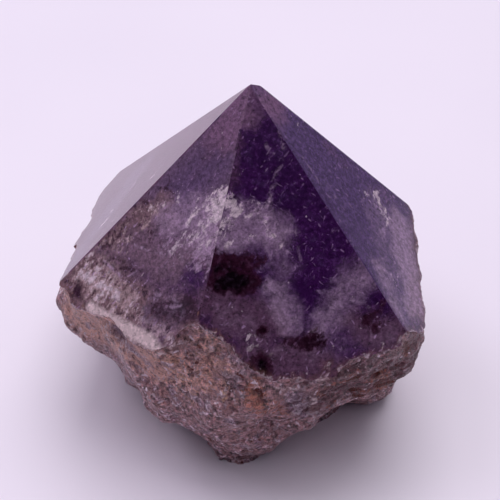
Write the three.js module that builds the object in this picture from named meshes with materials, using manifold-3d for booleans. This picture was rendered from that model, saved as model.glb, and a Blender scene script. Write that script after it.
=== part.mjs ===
// Amethyst point: one quartz crystal, ground to six polished faces that meet in a tip, on its own rough base.
// Millimetres, +Z up. The origin is on the sawn underside, straight below the tip.
// Azimuths are in degrees: 0 faces the front (-Y), and they grow towards the right (+X).
import * as THREE from "three";
import { mergeVertices } from "three/addons/utils/BufferGeometryUtils.js";
import { ImprovedNoise } from "three/addons/math/ImprovedNoise.js";
import Module from "manifold-3d";

// Driving dimensions
const TIP_HEIGHT = 75;
const TIP_RIDGE = 3.1; // the tip is a short ridge, because one face is ground a little deeper
const POLISHED = {
  left: { azimuth: -105.5, slope: 49.7 },
  front_left: { azimuth: -45.3, slope: 49.5 },
  front_right: { azimuth: 15.3, slope: 51.4 },
  right: { azimuth: 75.5, slope: 48.4 },
  back_right: { azimuth: 134.8, slope: 52.1 },
  back_left: { azimuth: 194.7, slope: 50.1 },
};

// The rough blank is the space inside these natural faces, seen from its heart.
// elevation is how far a face looks up or down, and through is a point on it.
const HEART = new THREE.Vector3(0, 0, 24);
const NATURAL_FACES = [
  { azimuth: -95, elevation: 3, through: [-36.4, 2, 31] },
  { azimuth: -39, elevation: -6, through: [-25, -22, 36] },
  { azimuth: -8, elevation: 21, through: [-8.5, -27.4, 44.5] }, // worn corner between the front faces
  { azimuth: 8, elevation: -7, through: [6, -33.5, 33] },
  { azimuth: 30, elevation: -7, through: [25, -26.5, 35] },
  { azimuth: 91, elevation: -4, through: [33.6, -6, 35] },
  { azimuth: 130, elevation: -4, through: [26, 14, 38] },
  { azimuth: 195, elevation: -3, through: [-9, 34, 32] },
  { azimuth: -62, elevation: -44, through: [-31.8, -9, 11] },
  { azimuth: -36, elevation: -34, through: [-13, -19.6, 1] },
  { azimuth: 33, elevation: -34, through: [12.5, -19, 1] },
  { azimuth: 98, elevation: -42, through: [32.6, 0, 8] },
  { azimuth: 160, elevation: -38, through: [8, 27, 2] },
  { azimuth: -138, elevation: -42, through: [-25, 20, 3] },
];
const EDGE_WEAR = 26; // a lower number wears the edges between natural faces rounder

// Lumps that grew or broke proud of those faces
const LUMPS = [
  { centre: [-31.6, -5, 23.5], half: [8, 9.5, 8.5] }, // nub on the left
  { centre: [-3.5, -20.8, 4], half: [7, 8, 9] }, // front foot
  { centre: [25, -9, 7], half: [7, 8, 7] }, // right foot
  { centre: [-14, 22, 20], half: [14, 12, 12] }, // swell at the back
];

// Hollows in the blank: where, how deep and how wide
const PITS = [
  { at: [-10, -29, 30], depth: 1.2, width: 8 },
  { at: [19, -24, 8], depth: 3.2, width: 7 },
  { at: [-24, -18, 20], depth: 1.6, width: 9 },
  { at: [8, -33, 25], depth: 1.4, width: 4 },
  { at: [33, 8, 22], depth: 2.4, width: 7 },
  { at: [10, 31, 24], depth: 2.6, width: 8 },
  { at: [-32, 16, 16], depth: 2.4, width: 7 },
];

// Growth ledges that run round the right-hand side, between two azimuths, fading over the last of them
const LEDGE_STEP = 4.2;
const LEDGE_DEPTH = 1;
const LEDGES_FROM = 5;
const LEDGES_TO = 130;
const LEDGES_FADE = 20;
const LEDGE_WANDER = { across: 11, up: 7, share: 0.9 }; // how far and how much the ledge lines wander
const LEDGE_MEAN = 0.4; // share of a ledge's depth that lies under the face it is cut in

// Hackly fracture: flat chips of two sizes, each tilted its own way, over a slow swell
const CHIPS = [
  { size: 9, step: 0.5, tilt: 0.14 },
  { size: 4.2, step: 0.22, tilt: 0.16 },
];
const SWELL_SIZE = 17;
const SWELL_HEIGHT = 2.6;
const SWELL_PLACE = 9; // picks which part of the noise the swell takes

const BLANK_DETAIL = 27; // splits of each icosahedron edge
const BLANK_REACH = 80; // the blank ends here above the heart, where grinding takes everything away
const BLOCK = 200; // side of the block that grinds a face
const WELD = 1e-5; // points closer than this are one

const SURFACE = { color: "#6d5673", roughness: 0.35, metalness: 0 };

const noise = new ImprovedNoise();
const fraction = (x) => x - Math.floor(x);
const vector = (xyz) => new THREE.Vector3(...xyz);

// A repeatable number from 0 to 1 for one cell of a grid, by the usual sine hash.
function cellValue(i, j, k, salt) {
  const mixed = i * 127.1 + j * 311.7 + k * 74.7 + salt * 53.3;
  return fraction(Math.sin(mixed) * 43758.5453);
}

// The way a face looks: azimuth round the crystal, elevation above level.
function facing(azimuth, elevation) {
  const a = THREE.MathUtils.degToRad(azimuth);
  const e = THREE.MathUtils.degToRad(elevation);
  return new THREE.Vector3(
    Math.cos(e) * Math.sin(a),
    -Math.cos(e) * Math.cos(a),
    Math.sin(e),
  );
}

const azimuthOf = (p) => THREE.MathUtils.radToDeg(Math.atan2(p.x, -p.y));

// Distance from the heart to the natural faces along a direction, with worn edges between them.
function faceReach(direction) {
  let sum = 0;
  for (const { azimuth, elevation, through } of NATURAL_FACES) {
    const normal = facing(azimuth, elevation);
    const depth = vector(through).sub(HEART).dot(normal);
    const along = direction.dot(normal);
    if (along > 0) sum += Math.pow(along / depth, EDGE_WEAR);
  }
  return Math.min(Math.pow(sum, -1 / EDGE_WEAR), BLANK_REACH);
}

// Distance from the heart to the far side of a lump, or 0 where the direction misses it.
function lumpReach(direction, { centre, half }) {
  const scale = new THREE.Vector3(1 / half[0], 1 / half[1], 1 / half[2]);
  const ray = direction.clone().multiply(scale);
  const start = HEART.clone().sub(vector(centre)).multiply(scale);
  const a = ray.lengthSq();
  const b = ray.dot(start);
  const c = start.lengthSq() - 1;
  const inside = b * b - a * c;
  return inside > 0 ? (-b + Math.sqrt(inside)) / a : 0;
}

// Height of the flat chip that a point belongs to: that of the nearest seed in the cells round the point.
function chipHeight(point, { size, step, tilt }) {
  const cell = point.clone().divideScalar(size).floor();
  let nearest = Infinity;
  let height = 0;
  for (let i = cell.x - 1; i <= cell.x + 1; i++)
    for (let j = cell.y - 1; j <= cell.y + 1; j++)
      for (let k = cell.z - 1; k <= cell.z + 1; k++) {
        const place = [1, 2, 3].map((salt) => cellValue(i, j, k, salt));
        const seed = new THREE.Vector3(i, j, k).add(vector(place));
        const away = point.clone().addScaledVector(seed, -size);
        if (away.length() >= nearest) continue;
        nearest = away.length();
        const lean = [4, 5, 6].map((salt) => 2 * cellValue(i, j, k, salt) - 1);
        const raised = 2 * cellValue(i, j, k, 7) - 1;
        height = step * raised + tilt * away.dot(vector(lean));
      }
  return height;
}

// Steps of the growth ledges: each rises slowly and ends in a short drop.
function ledgeHeight(point) {
  const azimuth = azimuthOf(point);
  const { smoothstep } = THREE.MathUtils;
  const shown =
    smoothstep(azimuth, LEDGES_FROM, LEDGES_FROM + LEDGES_FADE) *
    (1 - smoothstep(azimuth, LEDGES_TO - LEDGES_FADE, LEDGES_TO));
  const { across, up, share } = LEDGE_WANDER;
  const wander = noise.noise(point.x / across, point.y / across, point.z / up);
  const phase = fraction(point.z / LEDGE_STEP + share * wander);
  return shown * LEDGE_DEPTH * (phase * phase - LEDGE_MEAN);
}

function swellHeight(point) {
  const { x, y, z } = point.clone().divideScalar(SWELL_SIZE);
  return SWELL_HEIGHT * noise.noise(x, y, z + SWELL_PLACE);
}

function pitDepth(point) {
  let depth = 0;
  for (const pit of PITS) {
    const share = point.distanceTo(vector(pit.at)) / pit.width;
    if (share < 1) depth += pit.depth * Math.pow(1 - share * share, 2);
  }
  return depth;
}

// The blank's surface along a direction from its heart.
function blankPoint(direction) {
  const reach = Math.max(
    faceReach(direction),
    ...LUMPS.map((lump) => lumpReach(direction, lump)),
  );
  const plain = HEART.clone().addScaledVector(direction, reach);
  let relief = swellHeight(plain) + ledgeHeight(plain) - pitDepth(plain);
  for (const chips of CHIPS) relief += chipHeight(plain, chips);
  return plain.addScaledVector(direction, relief);
}

// A three.js shape with nothing but its points and its triangles, which share them.
function welded(geometry) {
  geometry.deleteAttribute("normal");
  geometry.deleteAttribute("uv");
  return mergeVertices(geometry, WELD);
}

function blankGeometry() {
  const ball = welded(new THREE.IcosahedronGeometry(1, BLANK_DETAIL));
  const position = ball.getAttribute("position");
  const direction = new THREE.Vector3();
  for (let i = 0; i < position.count; i++) {
    direction.fromBufferAttribute(position, i).normalize();
    position.setXYZ(i, ...blankPoint(direction));
  }
  return ball;
}

// A block with its inner face on the plane through a point that looks along normal.
function blockGeometry(normal, through) {
  const block = welded(new THREE.BoxGeometry(BLOCK, BLOCK, BLOCK));
  const up = new THREE.Vector3(0, 0, 1);
  const turn = new THREE.Quaternion().setFromUnitVectors(up, normal);
  const centre = through.clone().addScaledVector(normal, BLOCK / 2);
  return block.applyQuaternion(turn).translate(centre.x, centre.y, centre.z);
}

function polishedNormal(name) {
  return facing(POLISHED[name].azimuth, 90 - POLISHED[name].slope);
}

// The tip, where five faces meet, and the far end of its ridge, where the back right face is ground deeper.
function tipPoints() {
  const tip = new THREE.Vector3(0, 0, TIP_HEIGHT);
  const ridge = polishedNormal("right").cross(polishedNormal("back_left"));
  ridge.setLength(ridge.x > 0 ? TIP_RIDGE : -TIP_RIDGE);
  return { tip, ridgeEnd: tip.clone().add(ridge) };
}

const wasm = await Module();
wasm.setup();

function solidOf(geometry) {
  return new wasm.Manifold(
    new wasm.Mesh({
      numProp: 3,
      vertProperties: geometry.getAttribute("position").array,
      triVerts: new Uint32Array(geometry.index.array),
    }),
  );
}

function geometryOf(solid) {
  const { vertProperties, triVerts } = solid.getMesh();
  const geometry = new THREE.BufferGeometry()
    .setAttribute("position", new THREE.BufferAttribute(vertProperties, 3))
    .setIndex(new THREE.BufferAttribute(triVerts, 1));
  geometry.computeVertexNormals();
  return geometry;
}

// The blank, ground to the six polished faces and sawn flat underneath.
function crystalSolid() {
  const { tip, ridgeEnd } = tipPoints();
  let crystal = solidOf(blankGeometry());
  for (const name of Object.keys(POLISHED)) {
    const through = name === "back_right" ? ridgeEnd : tip;
    const block = blockGeometry(polishedNormal(name), through);
    crystal = crystal.subtract(solidOf(block));
  }
  const down = new THREE.Vector3(0, 0, -1);
  const saw = blockGeometry(down, new THREE.Vector3(0, 0, 0));
  return crystal.subtract(solidOf(saw));
}

const amethyst = new THREE.Mesh(
  geometryOf(crystalSolid()),
  new THREE.MeshStandardMaterial(SURFACE),
);
amethyst.name = "amethyst_point";

const part = new THREE.Group();
part.add(amethyst);

export default part;
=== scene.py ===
"""An amethyst point laid out as a Blender add-on: the quartz crystal, its ground faces and its rough skin in
one closed mesh, and a plain stage. Lengths are metres with +Z up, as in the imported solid; patterns are worked
out in millimetres."""

import math

import bmesh
import bpy
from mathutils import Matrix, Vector
from mathutils.kdtree import KDTree


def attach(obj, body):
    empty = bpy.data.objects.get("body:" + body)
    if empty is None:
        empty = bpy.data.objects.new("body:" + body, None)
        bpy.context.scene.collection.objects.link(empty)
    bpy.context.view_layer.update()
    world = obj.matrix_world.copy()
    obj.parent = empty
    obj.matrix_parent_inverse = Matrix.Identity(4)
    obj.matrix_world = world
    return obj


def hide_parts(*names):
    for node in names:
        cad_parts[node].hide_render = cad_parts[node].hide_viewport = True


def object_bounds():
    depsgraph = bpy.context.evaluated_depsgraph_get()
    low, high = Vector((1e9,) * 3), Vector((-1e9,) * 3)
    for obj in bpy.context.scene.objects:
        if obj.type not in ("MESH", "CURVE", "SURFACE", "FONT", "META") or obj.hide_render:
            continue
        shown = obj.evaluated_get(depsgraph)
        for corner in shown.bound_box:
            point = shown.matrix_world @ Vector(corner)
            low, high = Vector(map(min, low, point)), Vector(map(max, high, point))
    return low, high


bl_info = {
    "name": "Amethyst Point",
    "version": (1, 0, 0),
    "blender": (4, 5, 0),
    "location": "3D View > Sidebar > Amethyst",
    "description": "Makes an amethyst point with polished faces on a rough base, and its stage",
    "category": "Object",
}

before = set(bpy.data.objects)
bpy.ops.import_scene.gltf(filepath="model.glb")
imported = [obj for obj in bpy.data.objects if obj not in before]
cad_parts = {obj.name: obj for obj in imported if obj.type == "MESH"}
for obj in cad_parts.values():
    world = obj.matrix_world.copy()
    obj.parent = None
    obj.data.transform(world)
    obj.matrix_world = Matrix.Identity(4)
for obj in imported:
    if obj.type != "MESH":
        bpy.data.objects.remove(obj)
CAD_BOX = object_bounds()

STONE = "amethyst_point"
BODY = "root"
MM = 0.001

# The ground faces, in the order of their azimuths from the back left round the front
FACETS = ("back_left", "left", "front_left", "front_right", "right", "back_right")
FACET_RISE = (0.5, 0.8)  # range of the upward part of a ground face's normal
# Flats with normals this alike, and with distances from the origin this near, belong to one ground face
FACET_ALIKE = 0.9999
FACET_NEAR = 0.05 * MM
FACET_SPACING = 200  # mm between the spaces in which neighbouring faces read their patterns
FACET_CELLS = 14  # cells across half the stone, on the ground faces
BLOCK_SHARE = 2.2  # width of the uncut grinding block, in widths of the stone
WELD_DISTANCE = 1e-6
CUT_DISTANCE = 1e-7
SKIN, POLISHED = range(2)  # material places on the crystal, before the sawn foot's

MATH = "ShaderNodeMath"
VECTOR_MATH = "ShaderNodeVectorMath"
MAP_RANGE = "ShaderNodeMapRange"
NOISE = "ShaderNodeTexNoise"
CELLS = "ShaderNodeTexVoronoi"
MIX = "ShaderNodeMix"
SMOOTH = {"interpolation_type": "SMOOTHSTEP", "clamp": False}


def linear(hex_colour):
    """An sRGB colour such as "a0b1c2" as the linear values that shaders take."""
    channels = [int(hex_colour[i : i + 2], 16) / 255 for i in (0, 2, 4)]
    return tuple(c / 12.92 if c <= 0.04045 else ((c + 0.055) / 1.055) ** 2.4 for c in channels)


def add_node(tree, kind, inputs=(), **settings):
    """Adds a node with its settings. Inputs are values, nodes or sockets, in order or by name or number."""
    node = tree.nodes.new(kind)
    for name, value in settings.items():
        setattr(node, name, value)
    for key, value in inputs.items() if isinstance(inputs, dict) else enumerate(inputs):
        named = isinstance(key, str)
        socket = next(s for s in node.inputs if s.enabled and s.name == key) if named else node.inputs[key]
        if isinstance(value, bpy.types.Node):
            value = next(s for s in value.outputs if s.enabled)
        if isinstance(value, bpy.types.NodeSocket):
            tree.links.new(value, socket)
        elif socket.type == "RGBA":
            socket.default_value = (*value, 1) if len(value) == 3 else value
        else:
            socket.default_value = value
    return node


def add_socket(tree, name, kind, direction="INPUT"):
    """Adds a named socket to a node group."""
    tree.interface.new_socket(name=name, in_out=direction, socket_type=kind)


# Settings


class CrystalSettings(bpy.types.PropertyGroup):
    skin_cell: bpy.props.FloatProperty(
        name="Skin Cell", description="Size of the faces that carry the rough skin",
        default=0.45 * MM, min=0.3 * MM, unit="LENGTH", precision=5)
    grinding_allowance: bpy.props.FloatProperty(
        name="Grinding Allowance", description="Stone left on the blank before its faces are ground",
        default=0.6 * MM, min=0.2 * MM, unit="LENGTH", precision=5)
    edge_break: bpy.props.FloatProperty(
        name="Edge Break",
        description="Depth of the flat that wear has left on the edges between ground faces",
        default=0.07 * MM, min=0.01 * MM, unit="LENGTH", precision=5)
    chip_size: bpy.props.FloatProperty(
        name="Chip Size", description="Width of the flat chips of the broken skin",
        default=4.6 * MM, unit="LENGTH", precision=5)
    chip_tilt: bpy.props.FloatProperty(
        name="Chip Tilt", description="Slope of a chip against the skin it lies in", default=0.08)
    ledge_rise: bpy.props.FloatProperty(
        name="Ledge Rise", description="Height between two growth ledges",
        default=2.3 * MM, unit="LENGTH", precision=5)
    ledge_depth: bpy.props.FloatProperty(
        name="Ledge Depth", description="How far one growth ledge stands out over the next",
        default=0.28 * MM, unit="LENGTH", precision=5)
    grain_size: bpy.props.FloatProperty(
        name="Grain Size", description="Width of the quartz grains in the crusty parts of the skin",
        default=1.2 * MM, unit="LENGTH", precision=5)
    grain_height: bpy.props.FloatProperty(
        name="Grain Height", description="How far those grains stand out",
        default=0.4 * MM, unit="LENGTH", precision=5)


# Name in this script, name shown, what it colours, sRGB hex
COLOURS = (
    ("violet", "Deep Violet", "the clear parts", "451758"),
    ("night", "Night Violet", "the deepest clear parts", "2c0a40"),
    ("smoke", "Smoky Mauve", "the face on the front left", "8a6a80"),
    ("rose", "Rose", "the face on the left", "7d486c"),
    ("slate", "Slate", "the blue-grey parts", "664c7c"),
    ("dusk", "Dusky Mauve", "the cloudy parts near the skin", "6c4a66"),
    ("warm", "Warm Smoke", "the tip and the far rims", "90698c"),
    ("umber", "Umber", "the brownish smoke near the skin", "8e6c74"),
    ("milk", "Milk", "the milky clouds", "ccaacc"),
    ("pearl", "Pearl", "the greyish milk near the left corner", "d6b4b8"),
    ("lilac", "Lilac", "the fine strokes in the clear parts", "bc94c4"),
    # Veil White also paints the glints on the skin
    ("veil", "Veil White", "the healed fractures", "ffe6f4"),
    ("maroon", "Maroon", "the hollows' edges", "3f182f"),
    ("hollow", "Hollow", "the hollows inside", "10030c"),
    ("skin", "Skin", "the rough skin where nothing covers it", "a87c80"),
    ("clay", "Clay", "the tan film on the skin", "e4ac9e"),
    ("earth", "Earth", "the brown film on the ground faces' rims", "8e6258"),
    ("film", "Tan Threads", "the tan threads in the skin", "d6a684"),
    ("shade", "Shaded Skin", "the skin's darker streaks", "7e565c"),
    # Crevice also paints shade: over the skin's right side and in the hollows of its relief
    ("crevice", "Crevice", "the skin's hollows", "5c2e38"),
    # Pale Rim also paints a highlight on the skin's raised spots
    ("rim", "Pale Rim", "the skin's proud rims", "dcc6d2"),
    ("blush", "Blush", "the bruised ridge between face and skin", "ffe2e6"),
    ("ash", "Ash", "the grey clouds in the skin", "84687c"),
    ("rust", "Rust", "the iron stains", "a4604a"),
    ("scorch", "Dark Rust", "the darkest iron stains", "641e18"),
)


class ColourSettings(bpy.types.PropertyGroup):
    __annotations__ = {
        key: bpy.props.FloatVectorProperty(
            name=name, description="Colour of " + part, subtype="COLOR", default=linear(hex_colour))
        for key, name, part, hex_colour in COLOURS
    }


class StageSettings(bpy.types.PropertyGroup):
    floor_size: bpy.props.FloatProperty(
        name="Floor Size", description="Width of the floor", default=4, unit="LENGTH")
    camera_distance: bpy.props.FloatProperty(
        name="Camera Distance", description="From the camera to the middle of the stone",
        default=206.555 * MM, unit="LENGTH", precision=5)
    camera_pitch: bpy.props.FloatProperty(
        name="Camera Pitch", description="How far the camera looks down",
        default=math.radians(43), subtype="ANGLE")
    camera_field: bpy.props.FloatProperty(
        name="Camera Field", description="Angle of view across the square picture",
        default=math.radians(28), subtype="ANGLE")
    camera_aim: bpy.props.FloatVectorProperty(
        name="Camera Aim", description="Point that the camera looks at",
        default=(-0.05 * MM, 0, 34.53 * MM), subtype="TRANSLATION", precision=5)


# Ground faces


def ground_faces(mesh):
    """The ground faces as (normal, distance from the origin), found as the six largest flats that look up."""
    flats = []
    for polygon in sorted(mesh.polygons, key=lambda p: -p.area):
        if not FACET_RISE[0] < polygon.normal.z < FACET_RISE[1]:
            continue
        distance = polygon.normal.dot(polygon.center)
        for flat in flats:
            if flat[0].dot(polygon.normal) > FACET_ALIKE and abs(flat[1] - distance) < FACET_NEAR:
                flat[2] += polygon.area
                break
        else:
            flats.append([polygon.normal.copy(), distance, polygon.area])
    flats = sorted(flats, key=lambda flat: -flat[2])[: len(FACETS)]
    flats.sort(key=lambda flat: math.atan2(flat[0].x, -flat[0].y))
    return [(normal, distance) for normal, distance, _ in flats]


def facet_shift(face):
    """Where a ground face reads its patterns, away from the others, so that a pattern ends at the face's
    edges. The skin reads its own where it is."""
    return Vector((0, 0, FACET_SPACING * (FACETS.index(face) + 1))) if face in FACETS else Vector()


def cut_block(block, normal, distance, keep_outer):
    """Cuts the block's faces by a plane, and gives back the edges of the cut."""
    sliced = bmesh.ops.bisect_plane(
        block, geom=block.verts[:] + block.edges[:] + block.faces[:], dist=CUT_DISTANCE,
        plane_co=normal * distance, plane_no=normal, clear_outer=not keep_outer)
    return [part for part in sliced["geom_cut"] if isinstance(part, bmesh.types.BMEdge)]


def grinding_block(faces, edge_break, materials):
    """The solid that grinding and sawing leave room for: bounded by the ground faces, by the narrow worn
    flats on the edges between them, and by the sawn foot. Its faces are split into cells that can carry a
    measure."""
    polished, sawn = range(2)
    flats = [(normal, distance, polished) for normal, distance in faces]
    for index, (normal, distance) in enumerate(faces):
        next_normal, next_distance = faces[(index + 1) % len(faces)]
        both = normal + next_normal
        flats.append((both.normalized(), (distance + next_distance) / both.length - edge_break, polished))
    flats.append((Vector((0, 0, -1)), 0, sawn))
    block = bmesh.new()
    width = CAD_BOX[1].x - CAD_BOX[0].x
    bmesh.ops.create_cube(block, size=BLOCK_SHARE * width)
    for normal, distance, material in flats:
        rim = cut_block(block, normal, distance, keep_outer=False)
        for face in bmesh.ops.edgeloop_fill(block, edges=rim)["faces"]:
            face.material_index = material
    bmesh.ops.recalc_face_normals(block, faces=block.faces[:])
    for axis in range(3):
        normal = Vector([float(i == axis) for i in range(3)])
        for step in range(-FACET_CELLS, FACET_CELLS + 1):
            cut_block(block, normal, step * width / 2 / FACET_CELLS, keep_outer=True)
    mesh = bpy.data.meshes.new("grinding block")
    block.to_mesh(mesh)
    block.free()
    for material in materials:
        mesh.materials.append(material)
    return bpy.data.objects.new("grinding block", mesh)


def mark_faces(mesh, faces):
    """Gives each ground face its own pattern space and its distance to the skin, and keeps the skin's rims
    sharp."""
    shift = mesh.attributes.new("facet_shift", "FLOAT_VECTOR", "FACE")
    skin_points = set()
    ground_points = set()
    for polygon in mesh.polygons:
        if polygon.material_index == POLISHED:
            alike = [normal.dot(polygon.normal) for normal, _ in faces]
            shift.data[polygon.index].vector = facet_shift(FACETS[alike.index(max(alike))])
            ground_points.update(polygon.vertices)
        elif polygon.material_index == SKIN:
            skin_points.update(polygon.vertices)
    tree = KDTree(len(skin_points))
    for index in skin_points:
        tree.insert(mesh.vertices[index].co, index)
    tree.balance()
    inset = mesh.attributes.new("inset", "FLOAT", "POINT")
    for index in ground_points - skin_points:
        inset.data[index].value = tree.find(mesh.vertices[index].co)[2] / MM
    body = bmesh.new()
    body.from_mesh(mesh)
    for edge in body.edges:
        edge.smooth = all(face.material_index == SKIN for face in edge.link_faces)
    for face in body.faces:
        face.smooth = face.material_index == SKIN
    open_edges = sum(not edge.is_manifold for edge in body.edges)
    if open_edges:
        raise RuntimeError(f"the ground crystal has {open_edges} open edges")
    body.to_mesh(mesh)
    body.free()


# Rough skin

# Where the skin is crusted with grains, where it is smooth and where it is stepped: centre and reach in mm
CRUST_ZONE = ((-17, -27, 17), (11, 10, 9))
SMOOTH_ZONE = ((-27, -20, 29), (15, 11, 9))
LEDGE_ZONE = ((19, -24, 19), (24, 20, 16))
# Where weathering has left the skin fuller or hollower than the blank: centre, reach and height in mm
SWELLINGS = (
    ((-39, -9, 25), (9, 10, 8), 1.3),
    ((-30.5, -14, 15), (8, 9, 6.5), -2.2),
    ((34, -4, 37), (9, 14, 10), 1.4),
    ((4, -31.5, 16.6), (10, 7, 1.9), -0.9),
    ((-9.5, -29.5, 10.5), (4, 6, 2.2), -0.9),
    ((-4, -32, 11.5), (6, 5, 4.5), 0.7),
    ((18, -28, 23.6), (8, 7, 1.8), -0.9),
    ((26.5, -24.5, 25.6), (6, 6, 1.8), -0.9),
    ((2, -33.5, 27.5), (5, 4, 4), 0.9),
    ((-13.5, -29.5, 34), (3.4, 4, 2), -0.7),
)
# Heights over the nearest ground plane, in mm, from which to which the allowance and the roughness come in
ALLOWANCE_BAND = (-0.5, -0.22)
ROUGHNESS_BAND = (-0.3, -1.6)
ROUGHNESS_AT_RIM = 0.3
WEAR_STEPS = 14  # rounds of smoothing that take the blank's own flat chips down
PROUD_STEPS = 10  # rounds of smoothing that a spot's surroundings are taken over
CHIP_SHARES = (1, 0.45)  # the chips' two sizes, as shares of the chip size
LEDGE_DRIFT = 12 * MM  # how far a growth ledge wanders up and down
TOOTH_HEIGHT = 0.55 * MM
SMOOTH_ZONE_WEAR = 0.75  # share of the relief that is gone from the smooth natural face
GRAIN_BASE = 0.4  # distance from a grain's middle, in grain sizes, that is level with the skin


def zone(tree, place, centre, reach, soft=0.6):
    """1 inside an ellipsoid given in millimetres, falling smoothly to 0 at its surface."""
    offset = add_node(tree, VECTOR_MATH, [place, centre], operation="SUBTRACT")
    scaled = add_node(tree, VECTOR_MATH, [offset, reach], operation="DIVIDE")
    length = add_node(tree, VECTOR_MATH, [scaled], operation="LENGTH")
    return add_node(tree, MAP_RANGE, {"Value": length, "From Min": 1, "From Max": 1 - soft}, **SMOOTH)


def rough_skin_tree(faces, material):
    """Geometry nodes that turn the plain blank into broken, stepped and crusted quartz, and leave an
    allowance of stone on the faces to be ground. Its number inputs are the crystal's settings."""
    tree = bpy.data.node_groups.new("Rough Quartz Skin", "GeometryNodeTree")
    add_socket(tree, "Geometry", "NodeSocketGeometry")
    for name in (
        "Grinding Allowance", "Chip Size", "Chip Tilt", "Ledge Rise", "Ledge Depth", "Grain Size",
        "Grain Height",
    ):
        add_socket(tree, name, "NodeSocketFloat")
    add_socket(tree, "Geometry", "NodeSocketGeometry", "OUTPUT")
    given = add_node(tree, "NodeGroupInput").outputs

    # How far a point lies past the nearest ground plane
    position = add_node(tree, "GeometryNodeInputPosition")
    past = None
    for flat_normal, distance in faces + [(Vector((0, 0, -1)), 0)]:
        along = add_node(tree, VECTOR_MATH, [position, tuple(flat_normal)], operation="DOT_PRODUCT")
        reach = add_node(tree, MATH, [along, distance], operation="SUBTRACT")
        past = add_node(tree, MATH, [past, reach], operation="MAXIMUM") if past else reach
    ground, rough = [
        add_node(tree, MAP_RANGE, {"Value": past, "From Min": start * MM, "From Max": end * MM}, **SMOOTH)
        for start, end in (ALLOWANCE_BAND, ROUGHNESS_BAND)
    ]

    # The blank's own flat chips are worn softer first
    worn = add_node(
        tree, "GeometryNodeBlurAttribute", {"Value": position, "Iterations": WEAR_STEPS, "Weight": rough},
        data_type="FLOAT_VECTOR")
    softened = add_node(tree, "GeometryNodeSetPosition", {"Geometry": given["Geometry"], "Position": worn})

    place = add_node(tree, VECTOR_MATH, {0: position, "Scale": 1 / MM}, operation="SCALE")
    crust = zone(tree, place, *CRUST_ZONE)
    smooth = zone(tree, place, *SMOOTH_ZONE, soft=0.35)
    stepped = zone(tree, place, *LEDGE_ZONE)

    # Flat chips of two sizes, each tilted its own way
    relief = 0
    for share in CHIP_SHARES:
        size = add_node(tree, MATH, [given["Chip Size"], share], operation="MULTIPLY")
        scale = add_node(tree, MATH, [1, size], operation="DIVIDE")
        cells = add_node(tree, CELLS, {"Vector": position, "Scale": scale})
        across = add_node(tree, VECTOR_MATH, [position, cells.outputs["Position"]], operation="SUBTRACT")
        lean = add_node(tree, VECTOR_MATH, [cells.outputs["Color"], (0.5, 0.5, 0.5)], operation="SUBTRACT")
        slope = add_node(tree, VECTOR_MATH, [across, lean], operation="DOT_PRODUCT")
        chip = add_node(tree, MATH, [slope, given["Chip Tilt"]], operation="MULTIPLY")
        chip = add_node(tree, MATH, [chip, 2], operation="MULTIPLY")
        relief = add_node(tree, MATH, [relief, chip], operation="ADD")

    # Growth ledges that stand out one over the next
    wander = add_node(tree, NOISE, {"Vector": place, "Scale": 0.1, "Detail": 2})
    drift = add_node(tree, MATH, [wander, LEDGE_DRIFT], operation="MULTIPLY")
    level = add_node(tree, "ShaderNodeSeparateXYZ", [position]).outputs["Z"]
    level = add_node(tree, MATH, [level, drift], operation="ADD")
    step = add_node(tree, MATH, [level, given["Ledge Rise"]], operation="DIVIDE")
    step = add_node(tree, MATH, [step], operation="FRACT")
    step = add_node(tree, MATH, [step, 0.5], operation="SUBTRACT")
    ledges = add_node(tree, MATH, [step, given["Ledge Depth"]], operation="MULTIPLY")
    ledges = add_node(tree, MATH, [ledges, stepped], operation="MULTIPLY")
    relief = add_node(tree, MATH, [relief, ledges], operation="ADD")

    # Grains in the crust
    scale = add_node(tree, MATH, [1, given["Grain Size"]], operation="DIVIDE")
    grains = add_node(
        tree, CELLS, {"Vector": position, "Scale": scale, "Smoothness": 0.3}, feature="SMOOTH_F1")
    grain = add_node(tree, MATH, [GRAIN_BASE, grains], operation="SUBTRACT")
    grain = add_node(tree, MATH, [grain, given["Grain Height"]], operation="MULTIPLY")
    grain = add_node(tree, MATH, [grain, crust], operation="MULTIPLY")
    relief = add_node(tree, MATH, [relief, grain], operation="ADD")

    # Fine tooth everywhere, less on the smooth natural face
    tooth = add_node(tree, NOISE, {"Vector": place, "Scale": 0.55, "Detail": 4, "Roughness": 0.62})
    tooth = add_node(tree, MATH, [tooth, 0.5], operation="SUBTRACT")
    tooth = add_node(tree, MATH, [tooth, TOOTH_HEIGHT], operation="MULTIPLY")
    relief = add_node(tree, MATH, [relief, tooth], operation="ADD")
    worn_away = add_node(tree, MATH, [smooth, SMOOTH_ZONE_WEAR], operation="MULTIPLY")
    left = add_node(tree, MATH, [1, worn_away], operation="SUBTRACT")
    relief = add_node(tree, MATH, [relief, left], operation="MULTIPLY")

    fade = add_node(tree, MATH, [rough, 1 - ROUGHNESS_AT_RIM, ROUGHNESS_AT_RIM], operation="MULTIPLY_ADD")
    faded = add_node(tree, MATH, [relief, fade], operation="MULTIPLY")
    height = add_node(tree, MATH, [ground, given["Grinding Allowance"], faded], operation="MULTIPLY_ADD")
    for centre, reach, rise in SWELLINGS:
        swelling = zone(tree, place, centre, reach, soft=1)
        height = add_node(tree, MATH, [swelling, rise * MM, height], operation="MULTIPLY_ADD")
    normal = add_node(tree, "GeometryNodeInputNormal")
    offset = add_node(tree, VECTOR_MATH, {0: normal, "Scale": height}, operation="SCALE")

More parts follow.
